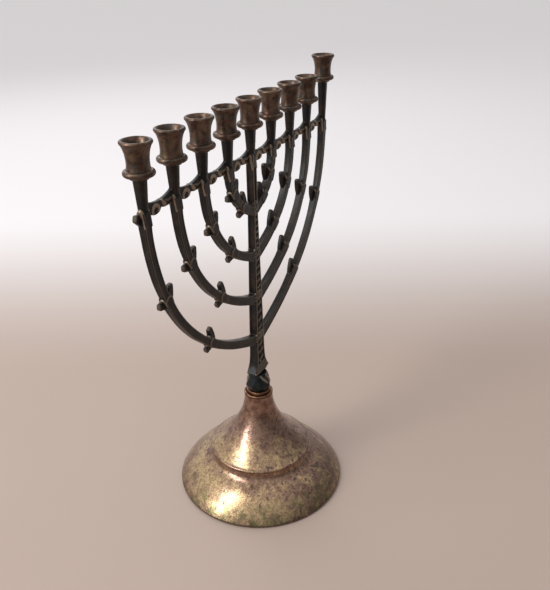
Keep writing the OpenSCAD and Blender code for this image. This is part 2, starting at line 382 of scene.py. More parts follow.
def smooth_row(rows, s):
    """A point on a smooth (Catmull-Rom) line through rows, s from 0 to 1."""
    n = len(rows) - 1
    x = min(s * n, n - 1e-6)
    i = int(x)
    f = x - i
    a, b, c, d = rows[max(i - 1, 0)], rows[i], rows[i + 1], rows[min(i + 2, n)]
    return [0.5 * (2 * b[k] + (c[k] - a[k]) * f + (2 * a[k] - 5 * b[k] + 4 * c[k] - d[k]) * f * f
                   + (3 * b[k] - a[k] - 3 * c[k] + d[k]) * f ** 3) for k in range(len(b))]


def add_horn(shape, place, rows):
    """A blunt horn swept through rows, thinner than the branch and set towards its back."""
    steps = 22
    blunting = ((0.85, 1.0), (1.0, 0.72))
    tip_r, tip_wear_and_highlight = 1.3, 0.22
    path = [smooth_row(rows, i / steps) for i in range(steps + 1)]
    points = [place(p[0], p[1]) for p in path]
    rings = []
    for i, p in enumerate(path):
        along = (points[min(i + 1, steps)] - points[max(i - 1, 0)]).normalized()
        normal = Vector((-along.y, along.x))
        half_d = horn_depth / 2 * interpolate(i / steps, blunting)
        section = bar_section(p[2], half_d, min(0.75, p[2] * 0.6), 0.08)
        rings.append([in_plane(points[i] + normal * u, horn_set_back + v) for u, v in section])
    shape.rings(rings)
    # The tip is painted pale: rubbed brass, and also a painted highlight on the horn's blunt end.
    shape.rims.append((in_plane(points[-1], horn_set_back), tip_r, tip_wear_and_highlight))


def add_cuff(shape, place, outline, side_half, apex, drop, front_leg, thick, pale, lip_r):
    """The swollen end of a length of branch, with an arched rim on each side face.

    The arch has its top at apex and legs that fall by front_leg in front and by drop behind. With a
    lip_r, a thinner rim also runs over the front and back faces.
    """
    steps, lip_steps = 28, 14
    chamfer = 0.35
    ring = [place(*smooth_row(outline, i / steps)) for i in range(steps + 1)]
    shape.plate(ring, CUFF_HALF_DEPTH, chamfer)
    if lip_r > 0:
        for face in (-1, 1):
            y = face * (CUFF_HALF_DEPTH - 0.12)
            over = [place(*smooth_row(outline[2:-2], i / lip_steps)) for i in range(lip_steps + 1)]
            shape.rope([in_plane(p, y) for p in over], swelling(lip_r * 0.5, lip_r * 0.5), pale * 0.7)
    for side in (-1, 1):
        arch = []
        for a in np.linspace(-1, 1, 17):
            leg = front_leg if a < 0 else drop
            p = place(side * (side_half - 0.08 * abs(a)), apex - leg * abs(a) ** 2.6)
            arch.append(in_plane(p, a * (CUFF_HALF_DEPTH - 0.35)))
        facing = place(side, 0.0) - place(0.0, 0.0)
        shape.rope(arch, swelling(thick * 0.7, thick * 0.3), pale, (facing.x, 0, facing.y))


def add_calyx(shape, curve, t, mirror):
    """The joint between two lengths of branch: a cuff with a horn on either side."""

    def place(across, along):
        return local_point(curve, t, mirror, across, along)

    add_horn(shape, place, INNER_HORN)
    add_horn(shape, place, OUTER_HORN)
    add_cuff(shape, place, CUFF, side_half=2.5, apex=-0.3, drop=3.0, front_leg=3.4, thick=0.46,
             pale=0.75, lip_r=0.36)


def stem_half(z):
    """Half width of the stem's straight part at a height."""
    return interpolate(z, ((foot_top_z, stem_half_low), (top_fork_z, stem_half_high)))


def stem_depth(z):
    """Half depth of the stem at a height."""
    return interpolate(z, ((knop_top, 3.1), (foot_edge_z, 3.5), (foot_top_z, 2.9), (top_fork_z, 2.4)))


def stem_edge(z):
    """Half width of the stem at a height, with the flare of its foot."""
    if z > foot_top_z:
        return stem_half(z)
    rise = (z - foot_edge_z) / (foot_top_z - foot_edge_z)
    if rise >= 0:
        return stem_half_low + (foot_half - stem_half_low) * (1 - rise) ** 2.4
    return interpolate(z, ((knop_top, 5.6), (foot_edge_z, foot_half)))


def add_stem(shape):
    """The stem: a core whose faces are sunk between four raised rails, one along each edge."""
    heights = np.concatenate((np.linspace(knop_top, foot_edge_z, 5),
                              np.linspace(foot_edge_z, foot_top_z, 12)[1:],
                              np.linspace(foot_top_z, bar_z + 2, 50)[1:]))
    rings = []
    for z in heights:
        sunk = 0.75 * ease((z - foot_edge_z - 2.5) / 2)
        section = bar_section(stem_edge(z) - 0.35 * sunk, stem_depth(z) - sunk, 0.6, 0.1)
        rings.append([Vector((u, v, z)) for u, v in section])
    shape.rings(rings)

    rail_heights = [z for z in heights if z > foot_edge_z + 1.0]
    rail_r = ((foot_top_z, 0.8), (top_fork_z, 0.58))
    rail_pale = 0.5
    for sx in (-1, 1):
        for sy in (-1, 1):
            rings, edge = [], []
            for z in rail_heights:
                r = interpolate(z, rail_r)
                x = sx * (stem_edge(z) - r)
                y = sy * (stem_depth(z) - r)
                rings.append([Vector((x + u, y + v, z)) for u, v in bar_section(r, r, r * 0.6, 0.02)])
                edge.append(Vector((x, sy * stem_depth(z), z)))
            shape.rings(rings)
            shape.pale_line(edge, 0.3, rail_pale)


def add_fork_band(shape, side):
    """The broad slanting ribs across the stem where a pair of branches meets it."""
    half = stem_half(fork_z(side)) + 0.25
    low, high = fork_z(side) + 0.2, fork_z(side) + 6.2
    ribs = 3
    slant, sunk, pale = 0.12, 0.45, 0.5
    for face in (-1, 1):
        for i in range(ribs):
            z = low + (high - low) * (i + 0.5) / ribs
            y = face * (stem_depth(z) - sunk)
            points = [Vector((x, y, z + slant * x)) for x in np.linspace(-half, half, 9)]
            shape.rope(points, lambda s: 0.45 + 0.47 * math.sin(math.pi * s) ** 0.35, pale)


def add_braid(shape, low, high, count):
    """A row of slanting beads up the front and back of the stem, each with a pale top."""
    gap = (high - low) / count
    slant, bead_depth, foot_bead_half = 0.2, 1.0, 3.9
    top_r, top_pale = 0.28, 0.55
    for i in range(count):
        z = low + gap * (i + 0.5)
        width = stem_half(z) - 0.75 if z > foot_top_z else foot_bead_half
        for face in (-1, 1):
            centre = Vector((0, face * (stem_depth(z) - 0.95), z))
            shape.bead(centre, (width, bead_depth, gap * 0.45), steps=12, tilt=slant)
            for x in np.linspace(-width * 0.55, width * 0.55, 7):
                shape.rims.append((centre + Vector((x, face * 0.95, slant * x)), top_r, top_pale))


def add_foot(shape):
    """The sharp lower rim of the stem's foot, and the slanting ribs over it."""
    rim_z, rim_half, rim_curl = foot_edge_z - 0.7, foot_half - 0.3, 0.9
    ribs, rib_gap, slant = 3, 1.6, 0.16
    for face in (-1, 1):
        y = face * (stem_depth(foot_edge_z) - 0.25)
        rim = [Vector((x, y, rim_z + rim_curl * (x / foot_half) ** 2))
               for x in np.linspace(-rim_half, rim_half, 15)]
        shape.rope(rim, 0.42, 0.7)
        for i in range(ribs):
            z = foot_edge_z + 1.5 + rib_gap * i
            reach = stem_edge(z) - 1.0
            y = face * (stem_depth(z) - 0.2)
            rib = [Vector((x, y, z + slant * x)) for x in np.linspace(-reach, reach, 9)]
            shape.rope(rib, 0.5, 0.4)


# Places along one length of the crossbar, as shares of the cup pitch.
ROUND_LEAF_AT = 0.36
SLIM_LEAF_AT = 0.62
UPPER_LINE_AT = 0.78
BAR_HALF_DEPTH = 1.2


def bar_outline(x0):
    """One length of the crossbar: a hollow top, a full lobe below and a small one beside it."""

    def at(share, rise):
        return Vector((x0 + pitch * share, bar_z + rise))

    dip_r = 24
    dip = arc((x0 + pitch / 2, bar_z + 26), dip_r, 242, 298, 11)
    small_lobe = bezier_points([at(0.86, -1.5), at(0.76, -2.5), at(0.66, -2.6), at(0.55, -1.5)], 6)
    full_lobe = bezier_points([at(0.53, -1.9), at(0.50, -4.3), at(0.26, -4.6), at(0.20, -1.9)], 10)
    start = [at(0, -1), at(0, 3)]
    end = [at(1, 3.4), at(1, -1.6), at(1, -1.6) - Vector((1.2, 0))]
    return start + dip + end + small_lobe + full_lobe


def add_leaves(shape, x0, face):
    """The relief on one face of a length of crossbar."""
    y = bar_set_back + face * BAR_HALF_DEPTH
    x, z = x0 + pitch * ROUND_LEAF_AT, bar_z - 1.5
    round_leaf = [Vector((x + 2.4 * math.sin(a), y, z + 2.2 * math.cos(a)))
                  for a in np.linspace(-2.2, 2.2, 18)]
    shape.rope(round_leaf, swelling(0.50, 0.40))
    shape.bead((x, y - face * 0.25, z - 0.4), (1.1, 0.6, 1.2), steps=8)
    x, z = x0 + pitch * SLIM_LEAF_AT, bar_z + 0.1
    slim_leaf = [Vector((x + 1.5 * s, y, z - 1.9 * s)) for s in np.linspace(-1, 1, 9)]
    shape.rope(slim_leaf, swelling(0.40, 0.6))
    x, z = x0 + pitch * UPPER_LINE_AT, bar_z + 0.4
    upper_line = [Vector((x + 2.6 * s, y, z + 0.8 * s * s)) for s in np.linspace(-1, 1, 9)]
    shape.rope(upper_line, swelling(0.2, 0.3), 0.5)


def add_crossbar(shape):
    """The scalloped bar between the branches, each length with a round leaf and a slim slanting one."""
    chamfer = 0.3
    for k in range(1, CUPS):
        shape.plate(bar_outline(cup_x(k)), BAR_HALF_DEPTH, chamfer, bar_set_back)
        for face in (-1, 1):
            add_leaves(shape, cup_x(k), face)


def add_post(shape, k):
    """The plain tapered post under a cup, its section between a square and a circle."""
    x = cup_x(k)
    root_z = post_start_z - 4.5
    top = cup_floor_z(k)
    sides, squareness, slimming = 32, 3, 0.94
    rings = []
    for s in np.linspace(0, 1, 14):
        z = root_z + (top - root_z) * s
        r = slimming * interpolate(z, ((root_z, 2.1), (post_start_z, 2.25), (top, 3.1)))
        ring = []
        for i in range(sides):
            c = math.cos(2 * math.pi * i / sides)
            d = math.sin(2 * math.pi * i / sides)
            out = r * (abs(c) ** squareness + abs(d) ** squareness) ** (-1 / squareness)
            ring.append(Vector((x + out * c, out * d, z)))
        rings.append(ring)
    shape.rings(rings)


def add_branch(shape, side, mirror):
    """One branch: lengths that end in a calyx each, the last in the crossbar."""
    curve = branch_curve(side, mirror)
    stops = (0.0, *calyx_places, 1.0)
    for start, end in zip(stops, stops[1:]):
        add_segment(shape, curve, start, end, mirror)
    for t in calyx_places:
        add_calyx(shape, curve, t, mirror)


def add_top(shape, k):
    """What meets the crossbar under cup k: the post, the cuff, and a horn at either end of the bar."""
    mirror = 1 if k >= MIDDLE_CUP else -1

    def place(across, along):
        return Vector((cup_x(k) + mirror * across, bar_z + along))

    add_post(shape, k)
    thick = 0.9 if k == 1 else 0.78
    add_cuff(shape, place, TOP_CUFF, side_half=2.25, apex=1.2, drop=4.6, front_leg=7.5, thick=thick,
             pale=0.9, lip_r=0.0)
    if k in (1, CUPS):
        add_horn(shape, place, END_HORN)


def build_tree():
    shape = Shape()
    for side in range(1, SIDE_BRANCHES + 1):
        for mirror in (-1, 1):
            add_branch(shape, side, mirror)
        add_fork_band(shape, side)
    add_stem(shape)
    add_foot(shape)
    add_braid(shape, foot_edge_z + 6.2, fork_z(SIDE_BRANCHES) + 0.2, 3)
    for side in range(2, SIDE_BRANCHES + 1):
        add_braid(shape, fork_z(side) + 6.4, fork_z(side - 1) + 0.2, 8 - side)
    add_crossbar(shape)
    for k in range(1, CUPS + 1):
        add_top(shape, k)
    return shape


def fuse(obj, voxel, smooth_steps):
    """Joins a piece's overlapping parts into one skin and rounds it slightly, like a casting."""
    remesh = obj.modifiers.new("fuse", "REMESH")
    remesh.mode = "VOXEL"
    remesh.voxel_size = voxel * METRES
    soften = obj.modifiers.new("soften", "SMOOTH")
    soften.factor = 0.5
    soften.iterations = smooth_steps
    graph = bpy.context.evaluated_depsgraph_get()
    data = bpy.data.meshes.new_from_object(obj.evaluated_get(graph))
    obj.modifiers.clear()
    obj.data = data
    data.shade_smooth()
    return obj


def mark_rims(obj, rims):
    """Stores in 'rim' how strongly each point belongs to a raised line, 0 to 1."""
    fade = 0.35
    data = obj.data
    places = kdtree.KDTree(len(rims))
    for i, (p, _, _) in enumerate(rims):
        places.insert(p, i)
    places.balance()
    values = np.zeros(len(data.vertices), dtype=np.float32)
    for i, vertex in enumerate(data.vertices):
        _, nearest, distance = places.find(vertex.co / METRES)
        _, r, pale = rims[nearest]
        values[i] = pale * (1 - ease((distance - r * 0.95) / fade))
    attribute = data.attributes.new("rim", "FLOAT", "POINT")
    attribute.data.foreach_set("value", values)


def mark_wear(obj, rounds):
    """Stores in 'wear' how far each point stands proud of the smoothed surface, in millimetres."""
    data = obj.data
    n = len(data.vertices)
    co = np.empty(n * 3)
    data.vertices.foreach_get("co", co)
    co = co.reshape(n, 3)
    normal = np.empty(n * 3)
    data.vertices.foreach_get("normal", normal)
    normal = normal.reshape(n, 3)
    edges = np.empty(len(data.edges) * 2, dtype=np.int64)
    data.edges.foreach_get("vertices", edges)
    a, b = edges[0::2], edges[1::2]
    links = np.bincount(a, minlength=n) + np.bincount(b, minlength=n)
    smooth = co.copy()
    for _ in range(rounds):
        sums = [np.bincount(a, smooth[b, k], n) + np.bincount(b, smooth[a, k], n) for k in range(3)]
        smooth = 0.4 * smooth + 0.6 * np.stack(sums, 1) / np.maximum(links, 1)[:, None]
    proud = ((co - smooth) * normal).sum(1) / METRES
    attribute = data.attributes.new("wear", "FLOAT", "POINT")
    attribute.data.foreach_set("value", proud.astype(np.float32))


# -------- turned and spun pieces

def base_profile():
    """Radius and height round the thin wall of the base, down its outside and back up its inside."""
    tier_r, tier_z, wall = 33.3, 25.2, 1.4
    neck_r = collar_r - 0.1
    ridge_r, roll_r = 1.1, 1.3
    neck = bezier_points([(neck_r, neck_z), (neck_r, neck_z - 17), (tier_r - 13.3, tier_z + 11.6),
                          (tier_r - ridge_r, tier_z + 1.5)], 40)
    ridge = arc((tier_r - ridge_r, tier_z + 0.4), ridge_r, 60, -70, 10)
    cove = bezier_points([(tier_r - 0.5, tier_z - 2.2), (tier_r - 0.3, tier_z - 4.6),
                          (tier_r + 1.4, tier_z - 6), (tier_r + 4, tier_z - 7.2)], 10)
    dome = bezier_points([(tier_r + 4.8, tier_z - 7.6), (tier_r + 11, tier_z - 10.8), (base_r - 4.4, 9),
                          (base_r - 0.6, roll_r * 2)], 30)
    roll = arc((base_r - roll_r, roll_r), roll_r, 40, -90, 10)
    roll += arc((base_r - roll_r - 0.8, roll_r), roll_r, -90, -215, 10)

    def moved_in(path):
        out = []
        for i in range(len(path)):
            d = (path[min(i + 1, len(path) - 1)] - path[max(i - 1, 0)]).normalized()
            out.append(path[i] + wall * Vector((d.y, -d.x)))
        return out

    bore = stud_r + stud_clear
    inside = [Vector((bore, neck_z - wall)), Vector((neck_r - wall - 0.4, neck_z - wall))]
    inside += moved_in(neck)[2:] + [Vector((tier_r - 1.9, tier_z - 5))] + moved_in(dome)[:-1]
    return [Vector((bore, neck_z))] + neck + ridge + cove + dome + roll + inside[::-1]


def collar_profile():
    """Radius and height round the collar: a rolled bead with a smaller bezel above it."""
    bore = stud_r + stud_clear
    bezel_r, bezel_edge, bead_r = 7.7, 0.7, 0.8
    bead = arc((collar_r - bead_r, neck_z + bead_r), bead_r, -90, 120, 16)
    groove = [Vector((bezel_r - 0.15, neck_z + 1.25)), Vector((bezel_r - 0.05, neck_z + 1.6))]
    bezel = arc((bezel_r - bezel_edge, bezel_z - bezel_edge), bezel_edge, 20, 90, 8)
    return [Vector((bore, neck_z))] + bead + groove + bezel + [Vector((bore, bezel_z))]


def cup_profile(k):
    """Radius and height round cup k, with its candle bore and the counterbored hole for its screw."""
    waist_r, bore, floor_z, bead_z, bead_r, lip_r = 5.0, 4.2, 3.6, 2.6, 1.45, 0.95
    hole, head, head_depth, break_edge = 1.4, 2.85, 1.3, 0.25
    bead_at = cup_r - 0.1 - bead_r
    z = cup_floor_z(k)
    outside = [Vector((hole, 0)), Vector((4.2, 0)), Vector((4.5, break_edge)),
               Vector((bead_at - 0.5, 1.25))]
    outside += arc((bead_at, bead_z), bead_r, -80, 100, 18)
    outside += bezier_points([(waist_r + 0.45, bead_z + 1.35), (waist_r - 0.25, bead_z + 4.4),
                              (waist_r + 0.1, cup_h - 4.6), (cup_r - 0.5, cup_h - 1.9)], 20)
    lip = arc((cup_r - lip_r, cup_h - lip_r), lip_r, -35, 120, 12)
    mouth = bezier_points([(cup_r - 1.4, cup_h - 0.15), (cup_r - 2.4, cup_h - 1.1), (bore, cup_h - 3),
                           (bore, cup_h - 4.6)], 12)
    seat = [Vector((bore, floor_z + break_edge)), Vector((bore - break_edge, floor_z)),
            Vector((head, floor_z)), Vector((head, floor_z - head_depth)),
            Vector((hole, floor_z - head_depth))]
    return [(p.x, p.y + z) for p in outside + lip + mouth + seat]


# The ridges of the knop's leaf: start and end angle in degrees, and how far they run down.
KNOP_RIDGES = ((225, 265, 6.0), (266, 294, 6.0), (305, 316, 6.8))


def knop_facets():
    """Eight-sided rings, every other one turned by half a side, joined by three-sided facets."""
    low, high = knop_low.z, knop_high.z
    levels = ((low, 6.9, 0.5), (low + 3.6, 8.35, 0.0), (high - 2.1, 6.35, 0.5), (high, 5.9, 0.0))
    sides = 8
    verts = []
    for z, r, turn in levels:
        for i in range(sides):
            a = 2 * math.pi * (i + turn) / sides
            verts.append(Vector((r * math.cos(a), r * math.sin(a), z)))
    faces = [tuple(range(sides - 1, -1, -1)), tuple((len(levels) - 1) * sides + i for i in range(sides))]
    for level in range(len(levels) - 1):
        a, b = level * sides, (level + 1) * sides
        for i in range(sides):
            j = (i + 1) % sides
            if levels[level][2] == 0.0:
                faces += [(a + i, a + j, b + i), (a + j, b + j, b + i)]
            else:
                faces += [(a + i, b + j, b + i), (a + i, a + j, b + j)]
    return verts, faces


def build_knop():
    """The knop, with a raised leaf of three ridges on the front and the back."""
    shape = Shape()
    shape.add(*knop_facets())
    low, high = knop_low.z, knop_high.z
    surface = ((low + 3.6, 7.9), (high - 2.1, 6.1), (high, 5.8))
    for turn in (0, 180):
        for start, end, drop in KNOP_RIDGES:
            points = []
            for s in np.linspace(0, 1, 9):
                z = high - 0.4 - drop * s
                a = math.radians(turn + start + (end - start) * s)
                r = interpolate(z, surface)
                points.append(Vector((r * math.cos(a), r * math.sin(a), z)))
            way = math.radians(turn + (start + end) / 2)
            shape.rope(points, swelling(0.35, 0.25), 0.8, (math.cos(way), math.sin(way), 0.2))
    return shape


# -------- materials

# Level directions from the usual viewpoint: painted shade darkens the base towards the viewer's right, and
# the floor is paler in the distance.
TO_THE_RIGHT = (0.464, -0.886, 0.0)
STRAIGHT_AWAY = (0.886, 0.464, 0.0)


class Shader:
    """Lays out one procedural material, with its coordinates in millimetres."""

    def __init__(self, name):
        self.mat = bpy.data.materials.new(name)
        self.mat.use_nodes = True
        self.tree = self.mat.node_tree
        self.tree.nodes.clear()
        self.out = self.tree.nodes.new("ShaderNodeOutputMaterial")
        self.bsdf = self.tree.nodes.new("ShaderNodeBsdfPrincipled")
        self.tree.links.new(self.bsdf.outputs[0], self.out.inputs[0])
        coords = self.tree.nodes.new("ShaderNodeTexCoord")
        scale = self.tree.nodes.new("ShaderNodeVectorMath")
        scale.operation = "SCALE"
        scale.inputs["Scale"].default_value = 1 / METRES
        self.tree.links.new(coords.outputs["Object"], scale.inputs[0])
        self.mm = scale.outputs[0]

    def put(self, socket, value):
        """Links a socket to a node's output, or sets its constant."""
        if isinstance(value, bpy.types.NodeSocket):
            self.tree.links.new(value, socket)
        elif isinstance(value, (tuple, list)):
            value = tuple(value)
            socket.default_value = value + (1.0,) if len(value) == 3 and socket.type == "RGBA" else value
        else:
            socket.default_value = value

    def stretch(self, x, y, z):
        """The coordinates with each axis scaled."""
        node = self.tree.nodes.new("ShaderNodeVectorMath")
        node.operation = "MULTIPLY"
        self.tree.links.new(self.mm, node.inputs[0])
        node.inputs[1].default_value = (x, y, z)
        return node.outputs[0]

    def noise(self, size, detail=4.0, rough=0.55, distort=0.0, vector=None, seed=0.0):
        """Noise whose blotches are about size millimetres across."""
        node = self.tree.nodes.new("ShaderNodeTexNoise")
        node.noise_dimensions = "4D"
        self.put(node.inputs["Vector"], vector or self.mm)
        node.inputs["W"].default_value = seed
        node.inputs["Scale"].default_value = 1 / size
        node.inputs["Detail"].default_value = detail
        node.inputs["Roughness"].default_value = rough
        node.inputs["Distortion"].default_value = distort
        return node.outputs["Fac"]

    def cells(self, size):
        """Distance from scattered points about size millimetres apart, as a share of that."""
        node = self.tree.nodes.new("ShaderNodeTexVoronoi")
        self.put(node.inputs["Vector"], self.mm)
        node.inputs["Scale"].default_value = 1 / size
        return node.outputs["Distance"]

    def remap(self, value, low, high, to_low=0.0, to_high=1.0):
        """A smooth step of value from low to high."""
        node = self.tree.nodes.new("ShaderNodeMapRange")
        node.interpolation_type = "SMOOTHSTEP"
        self.put(node.inputs["Value"], value)
        node.inputs["From Min"].default_value = low
        node.inputs["From Max"].default_value = high
        node.inputs["To Min"].default_value = to_low
        node.inputs["To Max"].default_value = to_high
        return node.outputs["Result"]

    def math(self, operation, a, b):
        node = self.tree.nodes.new("ShaderNodeMath")
        node.operation = operation
        self.put(node.inputs[0], a)
        self.put(node.inputs[1], b)
        return node.outputs[0]

    def mix(self, factor, a, b):
        """Colour a where factor is 0 and colour b where it is 1."""
        node = self.tree.nodes.new("ShaderNodeMix")
        node.data_type = "RGBA"
        self.put(node.inputs[0], factor)
        self.put(node.inputs[6], a)
        self.put(node.inputs[7], b)
        return node.outputs[2]

    def attribute(self, name):
        node = self.tree.nodes.new("ShaderNodeAttribute")
        node.attribute_name = name
        return node.outputs["Fac"]

    def height(self):
        node = self.tree.nodes.new("ShaderNodeSeparateXYZ")
        self.tree.links.new(self.mm, node.inputs[0])
        return node.outputs["Z"]

    def radius(self):
        flat = self.stretch(1, 1, 0)
        node = self.tree.nodes.new("ShaderNodeVectorMath")
        node.operation = "LENGTH"
        self.tree.links.new(flat, node.inputs[0])
        return node.outputs["Value"]

    def along(self, way):
        """How far a point lies in one direction, in millimetres."""
        node = self.tree.nodes.new("ShaderNodeVectorMath")
        node.operation = "DOT_PRODUCT"
        self.tree.links.new(self.mm, node.inputs[0])
        node.inputs[1].default_value = way
        return node.outputs["Value"]

    def bump(self, height, depth, strength=1.0, normal=None):
        """A bump whose full range is depth millimetres high."""
        node = self.tree.nodes.new("ShaderNodeBump")
        self.put(node.inputs["Height"], height)
        node.inputs["Distance"].default_value = depth * METRES
        node.inputs["Strength"].default_value = strength
        if normal is not None:
            self.tree.links.new(normal, node.inputs["Normal"])
        return node.outputs[0]

    def finish(self, color, roughness, metallic=1.0, normal=None, **sockets):
        self.put(self.bsdf.inputs["Base Color"], color)
        self.put(self.bsdf.inputs["Roughness"], roughness)
        self.put(self.bsdf.inputs["Metallic"], metallic)
        if normal is not None:
            self.tree.links.new(normal, self.bsdf.inputs["Normal"])
        for name, value in sockets.items():
            self.put(self.bsdf.inputs[name], value)
        return self.mat


def base_brass():
    """Spun brass gone coppery at the neck, mottled gold below, with dark pits and verdigris at the rim,
    and painted shade towards the viewer's right and along the bottom of the rolled rim.
    """
    s = Shader("base_brass")
    z, r = s.height(), s.radius()
    shaded = s.along(TO_THE_RIGHT)
    patches = s.noise(8, 6, 0.70, 0.5, seed=1.0)
    mottle = s.noise(2.6, 6, 0.70, 0.3, seed=9.0)
    speckle = s.noise(1.2, 5, 0.7, 0.2, seed=2.0)
    fine = s.noise(0.5, 3, 0.6, seed=3.0)
    clumps = s.noise(4.5, 6, 0.68, 0.3, seed=8.0)
    under_ridge = s.math("MULTIPLY", s.remap(r, 30, 33), s.remap(r, 36, 42, 1.0, 0.0))
    brown = s.math("ADD", s.math("MULTIPLY", s.remap(z, 28, 56), 0.30), s.math("MULTIPLY", patches, 0.90))
    brown = s.math("ADD", brown, s.math("MULTIPLY", mottle, 0.42))
    # Painted shade: more tarnish towards the viewer's right, the side away from the window lamp.
    brown = s.math("ADD", brown, s.math("MULTIPLY", s.remap(shaded, -5, 40), 0.09))
    brown = s.math("ADD", brown, s.math("MULTIPLY", under_ridge, 0.07))
    brown = s.remap(brown, 0.60, 0.80)
    gold = s.mix(s.remap(speckle, 0.38, 0.60), (0.32, 0.195, 0.098), (0.60, 0.445, 0.245))
    tarnish = s.mix(s.remap(clumps, 0.40, 0.58), (0.160, 0.085, 0.062), (0.33, 0.200, 0.138))
    color = s.mix(brown, gold, tarnish)
    pits = s.remap(s.cells(1.5), 0.08, 0.30, 1.0, 0.0)
    spots = s.math("MULTIPLY", pits, s.remap(s.noise(6, 4, 0.6, seed=5.0), 0.42, 0.56))
    # Painted shade: the dark stains also spread further towards the viewer's right.
    stain_and_painted_shade = s.math("ADD", clumps, s.math("MULTIPLY", s.remap(shaded, -5, 30), 0.05))
    stain_and_painted_shade = s.remap(s.math("ADD", stain_and_painted_shade, s.math("MULTIPLY", speckle, 0.45)), 0.80, 0.88)
    dark = s.math("MAXIMUM", s.math("MAXIMUM", s.remap(speckle, 0.59, 0.68), spots), stain_and_painted_shade)
    color = s.mix(s.math("MULTIPLY", dark, 0.85), color, (0.034, 0.016, 0.016))
    rim = s.remap(r, 42, 54)
    green = s.math("MULTIPLY", rim, s.remap(s.noise(5, 5, 0.62, seed=6.0), 0.46, 0.62))
    color = s.mix(s.math("MULTIPLY", green, 0.6), color, (0.105, 0.130, 0.036))
    # Painted shade: the lowest 3 mm of the rim, where it rolls under towards the floor, is darkened.
    edge = s.remap(z, 3.2, 1.0)
    color = s.mix(s.math("MULTIPLY", edge, 0.75), color, (0.050, 0.026, 0.018))
    rough = s.remap(s.math("ADD", s.math("MULTIPLY", speckle, 0.6), s.math("MULTIPLY", dark, 0.4)),
                    0.2, 0.8, 0.24, 0.46)
    spun = s.noise(0.7, 2, 0.5, vector=s.stretch(0.05, 0.05, 1.2), seed=7.0)
    normal = s.bump(spun, 0.03, 0.35)
    normal = s.bump(s.math("SUBTRACT", fine, s.math("MULTIPLY", dark, 0.8)), 0.07, 0.6, normal)
    lacquer = {"Coat Weight": 0.55, "Coat Roughness": 0.17}
    return s.finish(color, rough, s.remap(dark, 0, 1, 1.0, 0.7), normal, **lacquer)


def collar_brass():
    """Turned brass gone copper-brown."""
    s = Shader("collar_brass")
    blotch = s.noise(3.5, 5, 0.6, 0.3, seed=11.0)
    fine = s.noise(0.7, 4, 0.6, seed=12.0)
    color = s.mix(s.remap(blotch, 0.38, 0.64), (0.12, 0.060, 0.038), (0.27, 0.155, 0.090))
    color = s.mix(s.remap(fine, 0.56, 0.72), color, (0.045, 0.025, 0.020))
    normal = s.bump(fine, 0.05, 0.5)
    return s.finish(color, s.remap(blotch, 0.3, 0.7, 0.44, 0.30), 1.0, normal)


def knop_patina():
    """A glossy black patina, rubbed pale on the leaf's ridges."""
    s = Shader("knop_patina")
    blotch = s.noise(2.8, 5, 0.6, 0.3, seed=21.0)
    fine = s.noise(0.6, 4, 0.6, seed=22.0)
    color = s.mix(s.remap(blotch, 0.35, 0.65), (0.003, 0.005, 0.006), (0.007, 0.012, 0.014))
    jitter = s.math("MULTIPLY", s.math("SUBTRACT", fine, 0.5), 0.10)
    proud = s.math("ADD", s.attribute("wear"), jitter)
    color = s.mix(s.math("MULTIPLY", s.remap(proud, 0.08, 0.2), 0.45), color, (0.16, 0.12, 0.09))
    color = s.mix(s.math("MULTIPLY", s.attribute("rim"), 0.8), color, (0.27, 0.21, 0.155))
    normal = s.bump(fine, 0.05, 0.4)
    rough = s.remap(blotch, 0.3, 0.7, 0.16, 0.30)
    return s.finish(color, rough, 0.1, normal, **{"Specular IOR Level": 0.3})


def tree_patina():
    """Cast brass under a black-brown patina, rubbed pale along its raised lines and sharpest edges, with a
    painted highlight added in the pale horn tips.
    """
    s = Shader("tree_patina")
    wear = s.attribute("wear")
    rim = s.attribute("rim")
    broad = s.noise(9, 5, 0.6, 0.4, seed=31.0)
    mid = s.noise(2.2, 4, 0.6, seed=32.0)
    fine = s.noise(0.5, 4, 0.65, seed=33.0)
    proud = s.math("ADD", wear, s.math("MULTIPLY", s.math("SUBTRACT", mid, 0.5), 0.12))
    patina = s.mix(s.remap(broad, 0.35, 0.65), (0.003, 0.003, 0.003), (0.006, 0.008, 0.009))
    warm = s.mix(s.remap(mid, 0.4, 0.62), (0.010, 0.006, 0.004), (0.022, 0.013, 0.009))
    color = s.mix(s.remap(s.noise(6, 4, 0.55, seed=34.0), 0.42, 0.60), patina, warm)
    rubbed = s.remap(proud, 0.10, 0.22)
    color = s.mix(s.math("MULTIPLY", rubbed, 0.35), color, (0.12, 0.085, 0.060))
    chipped = s.remap(s.math("ADD", fine, s.math("MULTIPLY", mid, 0.5)), 0.60, 0.90, 1.0, 0.55)
    pale = s.math("MULTIPLY", rim, chipped)
    color = s.mix(s.math("MULTIPLY", pale, 0.95), color, (0.36, 0.28, 0.205))
    crevice = s.remap(proud, -0.06, -0.22)
    color = s.mix(s.math("MULTIPLY", crevice, 0.8), color, (0.006, 0.005, 0.0045))
    rough = s.math("ADD", s.remap(broad, 0.3, 0.7, 0.30, 0.42), s.math("MULTIPLY", crevice, 0.25))
    normal = s.bump(mid, 0.10, 0.4)
    normal = s.bump(fine, 0.05, 0.45, normal)
    metal = s.remap(pale, 0.1, 0.8, 0.0, 0.75)
    return s.finish(color, rough, metal, normal, **{"Specular IOR Level": 0.22})


